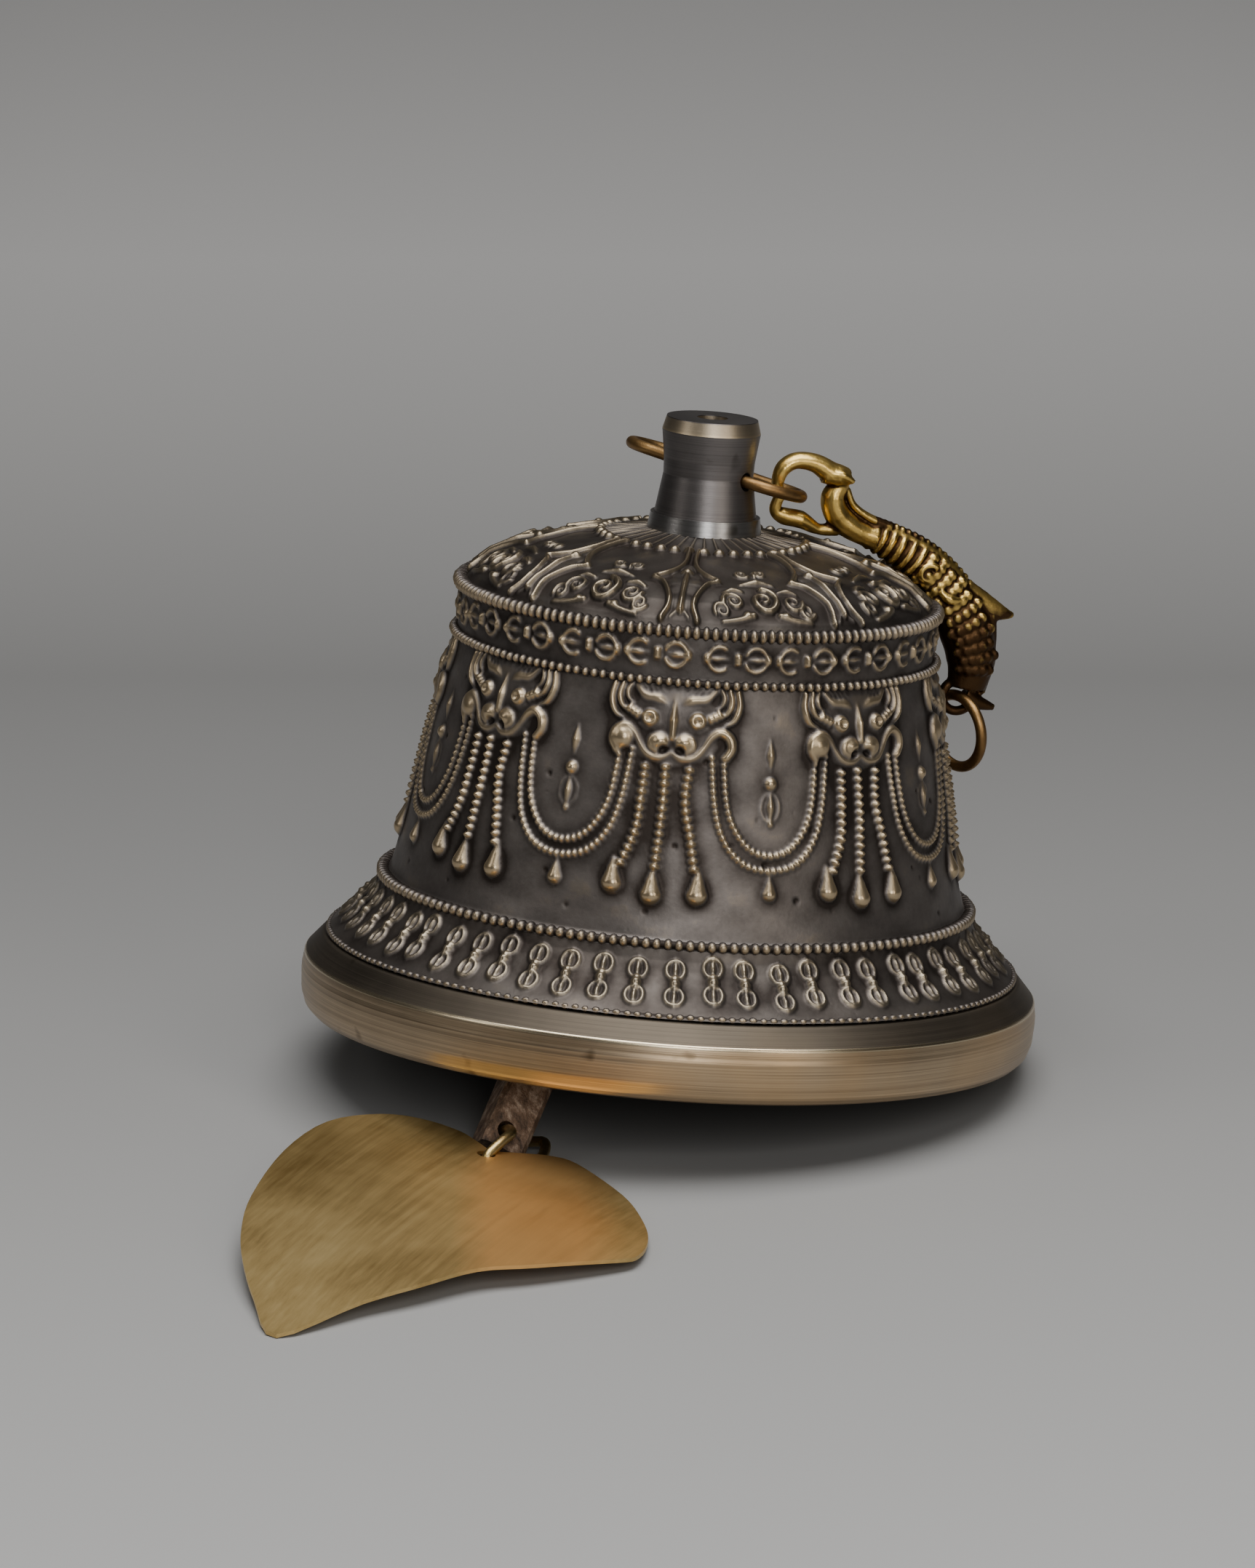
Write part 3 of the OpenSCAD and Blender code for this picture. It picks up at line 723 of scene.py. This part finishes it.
def bead_ring(name, radius, height, count, across, along, outwards, flat=0.0):
    """A row of separate beads on a thin strand.

    across, along and outwards are half a bead's sizes; flat is how far the turned side cuts into it.
    """
    turns, sides = 7, 12
    lat = np.linspace(-np.pi / 2, np.pi / 2, turns)
    lon = np.linspace(0, 2 * np.pi, sides, endpoint=False)
    bead = np.stack([np.cos(lat)[:, None] * np.cos(lon), np.cos(lat)[:, None] * np.sin(lon),
                     np.sin(lat)[:, None] + 0 * lon], -1).reshape(-1, 3)
    faces, pts, wear = [], [], []
    for k in range(count):
        a = 2 * math.pi * k / count + rng.uniform(-0.06, 0.06) / radius
        size = rng.uniform(0.92, 1.06)
        local = bead * (across, along * size, outwards * size)
        r = radius + np.minimum(local[:, 2], outwards - flat)
        t, z = local[:, 1], height + local[:, 0] + rng.uniform(-0.05, 0.05)
        ca, sa = math.cos(a), math.sin(a)
        pts.append(np.stack([r * ca - t * sa, r * sa + t * ca, z], -1))
        wear.append(0.04 + 0.78 * np.clip(bead[:, 2], 0, 1) ** 1.3)
        faces.append(grid_faces(turns, sides) + k * turns * sides)
    add_mesh(name, np.concatenate(pts), np.concatenate(faces), "bell", BRONZE, wear=np.concatenate(wear))
    strand = [(radius + 0.45 * outwards * math.cos(b), height + 0.62 * across * math.sin(b))
              for b in np.linspace(-1.7, 1.7, 9)]
    lathe(name + "_strand", strand, BRONZE, step=0.3, wear=0.02)


bell_crown()
bell_body()
bell_flare()
bead_ring("beads_shoulder", 38.7, 71.8, count=162, across=1.2, along=0.7, outwards=1.3)
bead_ring("beads_upper", 39.0, 63.8, count=160, across=0.82, along=0.68, outwards=1.05)
bead_ring("beads_waist", 47.9, 23.2, count=172, across=0.95, along=0.82, outwards=1.25, flat=0.22)
bead_ring("beads_lower", 55.8, 13.2, count=210, across=0.5, along=0.72, outwards=0.85, flat=0.25)
lathe("rim_slope", SLOPE, SLOPE_METAL, step=0.3)
lathe("rim_edge", BRIGHT_EDGE, EDGE_HIGHLIGHT_METAL, step=0.08)
lathe("rim_band", RIM, RIM_METAL, step=0.35)
lathe("bell_inside", INSIDE, INSIDE_METAL, step=1.2, around=180, wear=0.2)


# ---------------------------------------------------------------- fish hanger
# The fish's own frame: origin in its hook, X level and outwards from the hub, Y up, Z along the hook's axis
FISH_HOOK = Vector(JOINTS["fish_lift"]["pos_m"]) / MM
HOOK_AXIS = Vector(JOINTS["fish_lift"]["axis"])
FISH = Matrix.Translation(FISH_HOOK) @ Matrix(((-HOOK_AXIS.y, 0, HOOK_AXIS.x, 0),
                                               (HOOK_AXIS.x, 0, HOOK_AXIS.y, 0),
                                               (0, 1, 0, 0),
                                               (0, 0, 0, 1)))
# Middle line and half thickness of the fish from the throat to the tail
SPINE = [(10.6, -8.2), (14.2, -10.2), (18.2, -12.9), (21.8, -16.4), (25.0, -20.8), (27.6, -25.8),
         (28.6, -30.8), (27.8, -35.6)]
GIRTH = (2.0, 2.45, 3.0, 3.55, 4.1, 4.5, 4.2, 3.2)
# Direction in which the fish's back faces, its thickness for its width, and the places of its two eyes
BACKWARDS = np.array([0.62, 0.78])
FISH_DEPTH = 0.72
EYE_CURL = (20.4, -15.4)
TAIL_EYE = (26.3, -36.9)
# Cell size of the remesh that fuses its parts
VOXEL = 0.24


def tube(bm, points, radii, depth=0.85, sides=14):
    """Closed tube through points in the fish's frame; depth flattens it across the fish."""
    p = curve(points, 6)
    r = np.interp(np.linspace(0, 1, len(p)), np.linspace(0, 1, len(radii)), radii)
    rings = []
    for i, c in enumerate(p):
        d = p[min(i + 1, len(p) - 1)] - p[max(i - 1, 0)]
        d = d / np.linalg.norm(d)
        side = np.cross(d, (0, 0, 1.0))
        side /= np.linalg.norm(side)
        out = np.cross(side, d)
        ring = [bm.verts.new(c + r[i] * (math.cos(a) * side + depth * math.sin(a) * out))
                for a in np.linspace(0, 2 * math.pi, sides, endpoint=False)]
        rings.append(ring)
    for a, b in zip(rings[:-1], rings[1:]):
        for k in range(sides):
            bm.faces.new((a[k], a[(k + 1) % sides], b[(k + 1) % sides], b[k]))
    bm.faces.new(rings[0][::-1])
    bm.faces.new(rings[-1])


def ball(bm, at, size):
    """Ellipsoid with three half sizes."""
    place = Matrix.Translation(at) @ Matrix.Diagonal((*size, 1))
    bmesh.ops.create_icosphere(bm, subdivisions=3, radius=1, matrix=place)


def fish_loop(bm):
    """The loop the fish hangs by: an arch over the ring with a knob, and a leaf below it."""
    arch = [(-4.2, -1.6, 0.2), (-4.5, 1.2, 0.2), (-3.6, 3.5, 0), (-1.4, 4.7, 0), (1.8, 4.1, 0), (4.6, 2.2, 0)]
    tube(bm, arch, (0.9, 1.0, 1.25, 1.35, 1.55, 1.9), 1.35)
    tube(bm, [(3.0, 2.2, 0), (5.4, 1.9, 0), (7.4, 1.3, 0)], (1.5, 1.9, 1.5), 1.45)
    for side in (-1, 1):
        knob = [(3.6, 2.6, side * 1.7), (6.0, 2.2, side * 2.1), (7.9, 0.9, side * 1.7)]
        tube(bm, knob, (0.6, 0.8, 0.5), 1.0, 10)
    neck = [(6.6, 0.8, 0), (4.9, -1.7, 0), (5.4, -4.4, 0), (7.4, -6.6, 0), (10.2, -8.3, 0), (12.0, -9.0, 0)]
    tube(bm, neck, (1.3, 1.95, 2.1, 2.15, 2.0, 2.2), 1.2)
    crest = [(7.2, -0.6, 0.3), (8.2, -3.2, 0.4), (10.6, -5.4, 0.4), (14.5, -7.4, 0.3)]
    tube(bm, crest, (0.6, 0.6, 0.75, 0.8), 1.3, 10)
    leaf = [(-4.4, -1.2, 0.4), (-4.9, -3.2, 0.2), (-3.4, -4.4, 0), (-0.6, -5.2, 0), (2.4, -7.0, 0),
            (5.6, -7.2, 0)]
    tube(bm, leaf, (0.9, 1.0, 1.45, 1.5, 0.9, 1.2), 1.15)


def across_line(line, i):
    """Unit vector square to a plane curve at its point i."""
    d = line[min(i + 1, len(line) - 1)] - line[i - 1]
    return np.array([-d[1], d[0]]) / np.linalg.norm(d)


def throat_rings(bm, spine, girth):
    """Raised rings round the throat."""
    for i in range(2, 21, 3):
        across = across_line(spine, i)
        ring = [(*(spine[i] + girth[i] * math.cos(a) * across), 0.76 * girth[i] * math.sin(a))
                for a in np.linspace(0, 2 * math.pi, 15)]
        tube(bm, ring, (0.46, 0.46), 1.0, 8)


def back_plate(bm, spine, girth):
    """A ridge along the back with a row of teeth."""
    ridge = [spine[i] + 0.86 * girth[i] * BACKWARDS for i in range(0, 34, 4)]
    tube(bm, [(p[0], p[1], 0) for p in ridge], (0.7, 1.0, 1.15, 1.2, 1.25, 1.1), 1.3, 12)
    for i in range(1, 34, 2):
        p = spine[i] + (0.86 * girth[i] + 1.0) * BACKWARDS
        ball(bm, (p[0], p[1], 0), (0.55, 0.55, 1.0))


def scales(bm, spine, girth):
    """Rows of five scales on both faces, every second row shifted by half a scale."""
    for row, i in enumerate(range(20, 52, 3)):
        across = across_line(spine, i)
        for k in range(-2, 3):
            f = (k + 0.5 * (row % 2)) / 3.2
            p = spine[i] + girth[i] * f * across
            z = FISH_DEPTH * girth[i] * math.sqrt(max(0.0, 1 - f * f))
            for side in (-1, 1):
                ball(bm, (p[0], p[1], side * z), (0.95, 0.95, 0.5))


def fish_trunk(bm):
    """Ringed throat, back plate and scales on the body."""
    tube(bm, [(x, y, 0) for x, y in SPINE], GIRTH, FISH_DEPTH, 20)
    spine = curve(SPINE, 8)
    girth = np.interp(np.linspace(0, 1, len(spine)), np.linspace(0, 1, len(GIRTH)), GIRTH)
    throat_rings(bm, spine, girth)
    back_plate(bm, spine, girth)
    scales(bm, spine, girth)


def fish_head_side(bm, side):
    """Eye curl and whisker on one face."""
    x, y = EYE_CURL
    swirl = [(x + (1.9 - 0.26 * a) * math.cos(a + 0.6), y + (1.9 - 0.26 * a) * math.sin(a + 0.6), side * 2.7)
             for a in np.linspace(0, 6.0, 12)]
    tube(bm, swirl, (0.55, 0.4), 1.0, 8)
    ball(bm, (x, y, side * 2.6), (0.7, 0.7, 0.7))
    whisker = [(22.4, -18.2, side * 2.9), (24.0, -19.6, side * 3.2), (26.6, -20.0, side * 2.5)]
    tube(bm, whisker, (0.6, 0.9, 0.4), 1.0, 8)


def fish_ends(bm):
    """Both sides of the head, the horn on the back, the fin, and the tail's lobe and eye."""
    for side in (-1, 1):
        fish_head_side(bm, side)
    horn = [(27.0, -19.6, 0), (30.2, -21.6, 0), (33.2, -23.2, 0), (35.8, -24.0, 0)]
    tube(bm, horn, (2.6, 2.2, 1.5, 0.45), 0.6)
    fin = [(31.8, -23.6, 0), (32.0, -28.4, 0), (31.4, -33.0, 0), (30.4, -36.8, 0)]
    tube(bm, fin, (1.1, 0.9, 0.8, 0.6), 1.0, 10)
    lobe = [(27.4, -36.6, 0), (29.6, -38.2, 0), (31.2, -38.9, 0), (32.6, -39.4, 0)]
    tube(bm, lobe, (1.5, 1.25, 0.9, 0.5), 1.0)
    x, y = TAIL_EYE
    eye = [(x + 2.6 * math.cos(a), y + 2.6 * math.sin(a), 0) for a in np.linspace(0, 2 * math.pi, 17)]
    tube(bm, eye, (0.8, 0.8), 1.2, 10)


def fish_parts():
    """A loose object with all the fish's parts."""
    bm = bmesh.new()
    fish_loop(bm)
    fish_trunk(bm)
    fish_ends(bm)
    bmesh.ops.recalc_face_normals(bm, faces=bm.faces)
    mesh = bpy.data.meshes.new("fish_parts")
    bm.to_mesh(mesh)
    bm.free()
    parts = bpy.data.objects.new("fish_parts", mesh)
    bpy.context.scene.collection.objects.link(parts)
    return parts


def fused(parts):
    """Points, normals, faces and edges of the parts as one casting, by a voxel remesh and some smoothing."""
    fuse = parts.modifiers.new("fuse", "REMESH")
    fuse.mode = "VOXEL"
    fuse.voxel_size = VOXEL
    soft = parts.modifiers.new("soft", "SMOOTH")
    soft.iterations = 3
    soft.factor = 0.5
    done = parts.evaluated_get(bpy.context.evaluated_depsgraph_get()).to_mesh()
    pts = np.zeros(len(done.vertices) * 3)
    nor = np.zeros(len(done.vertices) * 3)
    done.vertices.foreach_get("co", pts)
    done.vertices.foreach_get("normal", nor)
    faces = np.array([tuple(f.vertices) for f in done.polygons])
    edges = np.array([tuple(e.vertices) for e in done.edges])
    bpy.data.objects.remove(parts)
    return pts.reshape(-1, 3), nor.reshape(-1, 3), faces, edges


def fish_wear(pts, nor, edges):
    """Wear by how far each point stands out; less towards the tail and along the back."""
    smooth = pts.copy()
    for _ in range(8):
        mean, count = np.zeros_like(pts), np.zeros(len(pts))
        for a, b in ((0, 1), (1, 0)):
            np.add.at(mean, edges[:, a], smooth[edges[:, b]])
            np.add.at(count, edges[:, a], 1)
        smooth = mean / np.maximum(count, 1)[:, None]
    bulge = ((pts - smooth) * nor).sum(1)
    wear = np.clip(0.52 + 3.0 * bulge, 0, 1)
    wear = wear * np.interp(pts[:, 1], (-40, -26, -19, 10), (0.35, 0.45, 1.0, 1.0))
    back_line = np.interp(pts[:, 0], (11, 16, 24, 31), (-6.8, -7.4, -12.6, -20)) + 0.8
    under_back = np.clip(back_line - pts[:, 1], 0, 1.4) / 1.4
    return wear * np.where(pts[:, 0] > 12, 0.35 + 0.65 * under_back, 1)


def fish_piece():
    """The fish as one casting."""
    pts, nor, faces, edges = fused(fish_parts())
    add_mesh("fish_casting", pts, faces, "fish_hanger", FISH_BRASS, place=FISH,
             wear=fish_wear(pts, nor, edges), replaces=("fish_hanger",))


fish_piece()

# ---------------------------------------------------------------- sail ring
# The clapper's frame at rest: origin in its pivot, the bar along -Z
PIVOT_HEIGHT = 56.0
SWING_AZIMUTH = math.radians(-120)
REST_SWING = math.radians(37.5)
CLAPPER = (BELL @ Matrix.Translation((0, 0, PIVOT_HEIGHT)) @ Matrix.Rotation(SWING_AZIMUTH, 4, "Z")
           @ Matrix.Rotation(-REST_SWING, 4, "Y") @ Matrix.Rotation(math.radians(45), 4, "Z"))
# Route of the wire through the clapper's eye and the sail's hole
RING_ROUTE = [(-5.1, -0.8, -84.0), (-1.0, -0.8, -84.0), (4.0, -0.8, -84.0), (7.2, -0.7, -85.4),
              (8.6, -2.1, -88.2), (9.0, -3.3, -91.6), (7.9, -2.2, -93.9), (6.7, 2.2, -91.4),
              (5.2, 5.2, -87.0), (1.6, 6.9, -83.4), (-3.4, 6.6, -80.2)]
WIRE_R = 0.85


def sail_wire():
    """Closed wire of round section along the route."""
    steps, sides = 8, 12
    closed = curve(RING_ROUTE[-2:] + RING_ROUTE + RING_ROUTE[:2], steps)[2 * steps:-2 * steps - 1]
    rings = []
    for i, c in enumerate(closed):
        d = closed[(i + 1) % len(closed)] - closed[i - 1]
        d = d / np.linalg.norm(d)
        side = np.cross(d, (0.3, 0.2, 1.0))
        side /= np.linalg.norm(side)
        out = np.cross(side, d)
        rings.append([c + WIRE_R * (math.cos(a) * side + math.sin(a) * out)
                      for a in np.linspace(0, 2 * math.pi, sides, endpoint=False)])
    rings.append(rings[0])
    add_mesh("sail_wire", np.array(rings).reshape(-1, 3), grid_faces(len(rings), sides), "sail_ring",
             WIRE_BRASS, place=CLAPPER, replaces=("sail_ring",))


sail_wire()

# ---------------------------------------------------------------- CAD nodes that keep their own shape
KEPT = {"hub": HUB_METAL, "hub_collar": COLLAR_METAL, "hanger_ring": RING_BRASS, "top_ring": RING_BRASS,
        "sail": SAIL_METAL, "clapper": IRON, "clapper_link": IRON, "crown_stud": IRON, "crown_nut": IRON,
        "crown_washer": STEEL}
for name, material in KEPT.items():
    data = frame["nodes"][name].data
    data.materials.clear()
    data.materials.append(material)


# ---------------------------------------------------------------- stage, light and camera
# Camera: its height angle, distance from the point it aims at, and focal length in pixels of the image
CAMERA_ELEVATION = math.radians(16.5)
CAMERA_DISTANCE = 1600.0
FOCAL_PX = 13459.0
IMAGE_HEIGHT = 2156.0
SENSOR_MM = 36.0
# The point it aims at, to the right of and above the mouth's middle as seen in the image
AIM_RIGHT, AIM_UP = -6.2, 39.9
# Point that the lights are aimed at, in metres
LIT_POINT = Vector((0, 0, 0.05))
# Where the paper's painted light falloff starts and ends along Y, and where its painted shade begins to
# darken it to each side, in metres
PAPER_NEAR_Y, PAPER_FAR_Y = -0.25, 0.65
PAPER_SIDE_X, PAPER_EDGE_X = 0.13, 0.6
EDGE_SHADE = 0.62
# Tone of the paper from near to far with its painted light falloff, as (share of the way, colour)
PAPER_PAINTED_LIGHT_TONES = [(0.0, (0.44, 0.435, 0.43)), (0.07, (0.39, 0.387, 0.381)), (0.32, (0.265, 0.262, 0.257)),
               (0.58, (0.182, 0.18, 0.176)), (0.95, (0.43, 0.423, 0.415))]


def backdrop():
    """Round pale floor that sweeps up into a wall all round, well outside every view."""
    floor_r, bend, wall = 2600, 600, 2400
    quarter = np.linspace(0, math.pi / 2, 12)
    arc = [(floor_r + bend * math.sin(a), bend * (1 - math.cos(a))) for a in quarter]
    line = [(1, 0), (floor_r / 2, 0)] + arc + [(floor_r + bend, wall)]
    turns = np.linspace(0, 2 * math.pi, 96, endpoint=False)
    pts = [(r * math.cos(a) * MM, r * math.sin(a) * MM, z * MM) for r, z in line for a in turns]
    mesh = bpy.data.meshes.new("sweep")
    faces = grid_faces(len(line), len(turns)).tolist() + [list(range(len(turns)))]
    mesh.from_pydata(pts, [], faces)
    mesh.polygons.foreach_set("use_smooth", [True] * len(mesh.polygons))
    sweep = bpy.data.objects.new("sweep", mesh)
    bpy.context.scene.collection.objects.link(sweep)
    mesh.materials.append(paper_material())


def paper_material():
    """Grey paper with painted light and shade: lighter near the object's front and a little darker to both
    sides.
    """
    m, t, bsdf = new_material("sweep_paper_painted_light")
    place = node(t, "SeparateXYZ", Vector=node(t, "TexCoord").outputs["Object"])
    f = node(t, "MapRange", Value=place.outputs["Y"], i1=PAPER_NEAR_Y, i2=PAPER_FAR_Y).outputs[0]
    aside = math_node(t, "ABSOLUTE", place.outputs["X"], 0.0)
    shade = node(t, "MapRange", Value=aside, i1=PAPER_SIDE_X, i2=PAPER_EDGE_X, i3=1.0, i4=EDGE_SHADE)
    painted_light_tone = node(t, "VectorMath", operation="SCALE", i0=ramp(t, f, PAPER_PAINTED_LIGHT_TONES), Scale=shade.outputs[0])
    t.links.new(painted_light_tone.outputs[0], bsdf.inputs["Base Color"])
    bsdf.inputs["Roughness"].default_value = 0.8
    return m


def area_light(name, at, size, power, colour=(1, 1, 1)):
    """Softbox aimed at the object; place and size in metres, power in watts."""
    light = bpy.data.lights.new(name, "AREA")
    light.shape = "RECTANGLE"
    light.size, light.size_y = size
    light.energy = power
    light.color = colour
    lamp = bpy.data.objects.new(name, light)
    bpy.context.scene.collection.objects.link(lamp)
    lamp.location = at
    lamp.rotation_euler = (LIT_POINT - Vector(at)).to_track_quat("-Z", "Y").to_euler()


def lights():
    """Four softboxes and a dim room."""
    area_light("top", (0.05, -0.1, 1.2), (1.1, 1.0), 17.5)
    area_light("left", (-0.9, -0.35, 0.7), (0.3, 0.6), 1.2, (1.0, 0.97, 0.93))
    area_light("right", (0.75, -0.9, 0.5), (0.3, 0.7), 2.6, (1.0, 0.93, 0.84))
    area_light("front", (0.2, -1.6, 0.85), (0.4, 0.9), 9.0)
    world = bpy.data.worlds.new("studio")
    world.use_nodes = True
    world.node_tree.nodes["Background"].inputs[0].default_value = (0.5, 0.5, 0.5, 1)
    world.node_tree.nodes["Background"].inputs[1].default_value = 0.1
    bpy.context.scene.world = world


def camera():
    """Long lens from the front, a little above; the image is 1725 x 2156."""
    right = Vector((1, 0, 0))
    up = Vector((0, math.sin(CAMERA_ELEVATION), math.cos(CAMERA_ELEVATION)))
    toward = Vector((0, -math.cos(CAMERA_ELEVATION), math.sin(CAMERA_ELEVATION)))
    target = MOUTH + AIM_RIGHT * right + AIM_UP * up
    data = bpy.data.cameras.new("camera")
    data.sensor_fit = "AUTO"
    data.sensor_width = SENSOR_MM
    data.lens = FOCAL_PX / IMAGE_HEIGHT * SENSOR_MM
    data.clip_start, data.clip_end = 0.05, 20
    cam = bpy.data.objects.new("camera", data)
    bpy.context.scene.collection.objects.link(cam)
    cam.location = (target + CAMERA_DISTANCE * toward) * MM
    cam.rotation_mode = "QUATERNION"
    cam.rotation_quaternion = (-toward).to_track_quat("-Z", "Y")
    bpy.context.scene.camera = cam


backdrop()
lights()
camera()
bpy.context.scene.view_settings.view_transform = "AgX"
